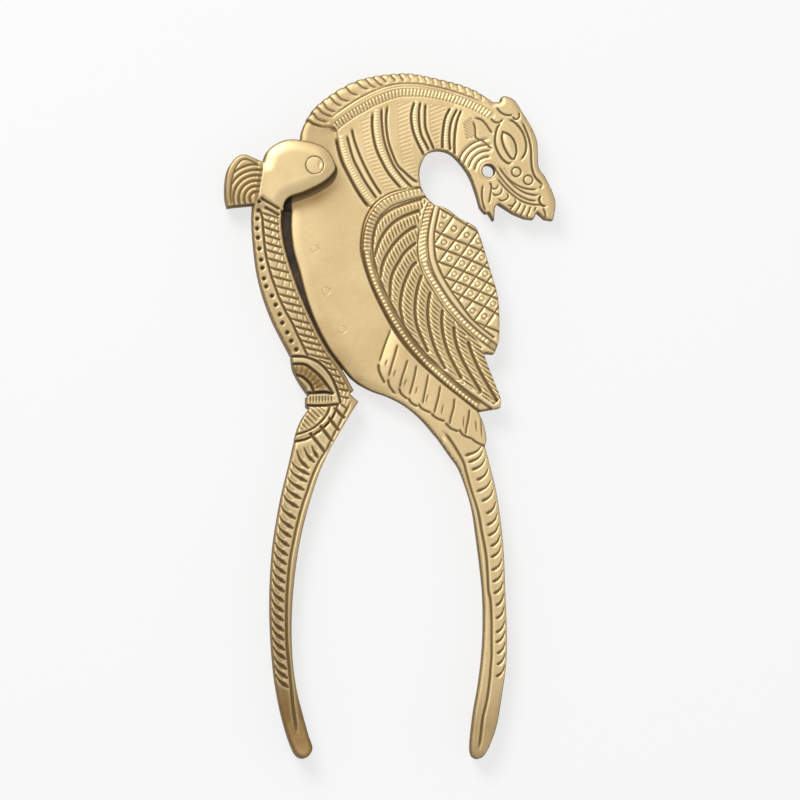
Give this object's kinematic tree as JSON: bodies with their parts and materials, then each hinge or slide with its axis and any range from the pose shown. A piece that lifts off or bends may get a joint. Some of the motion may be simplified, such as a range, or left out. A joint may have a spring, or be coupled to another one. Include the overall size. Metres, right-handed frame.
{
  "type": "betel nut cutter",
  "caption": "Hinged brass betel nut cutter: a bird-shaped upper lever with a let-in steel blade closes on a grooved lower lever; both run down into curved handles.",
  "frame": {"origin": "on the hinge axis, at the outer face of the back ear, where the cutter lies on a flat surface", "axes": "+Z along the hinge axis through the cutter's thickness, towards the face that is seen; +Y along the cutter from the handle tips towards the bird's crest; +X the way the bird looks"},
  "size_m": [0.0878, 0.1816, 0.0098],
  "materials": {
    "brass": "cast brass, chased and softly polished, brown in the recesses",
    "rivet_brass": "brass rivet peened flush and rubbed smooth",
    "blade_steel": "dark browned steel with a ground edge"
  },
  "bodies": {
    "anvil_arm": {"anvil_lever": "brass", "pivot_rivet": "rivet_brass"},
    "blade_arm": {"bird_lever": "brass", "cutting_blade": "blade_steel", "blade_rivet_upper": "rivet_brass", "blade_rivet_middle": "rivet_brass", "blade_rivet_lower": "rivet_brass"}
  },
  "joints": [
    {"name": "hinge", "type": "hinge", "parent": "anvil_arm", "child": "blade_arm", "pos_m": [0, 0, 0.00492], "axis": [0, 0, 1], "range_deg": [0, 45]}
  ]
}
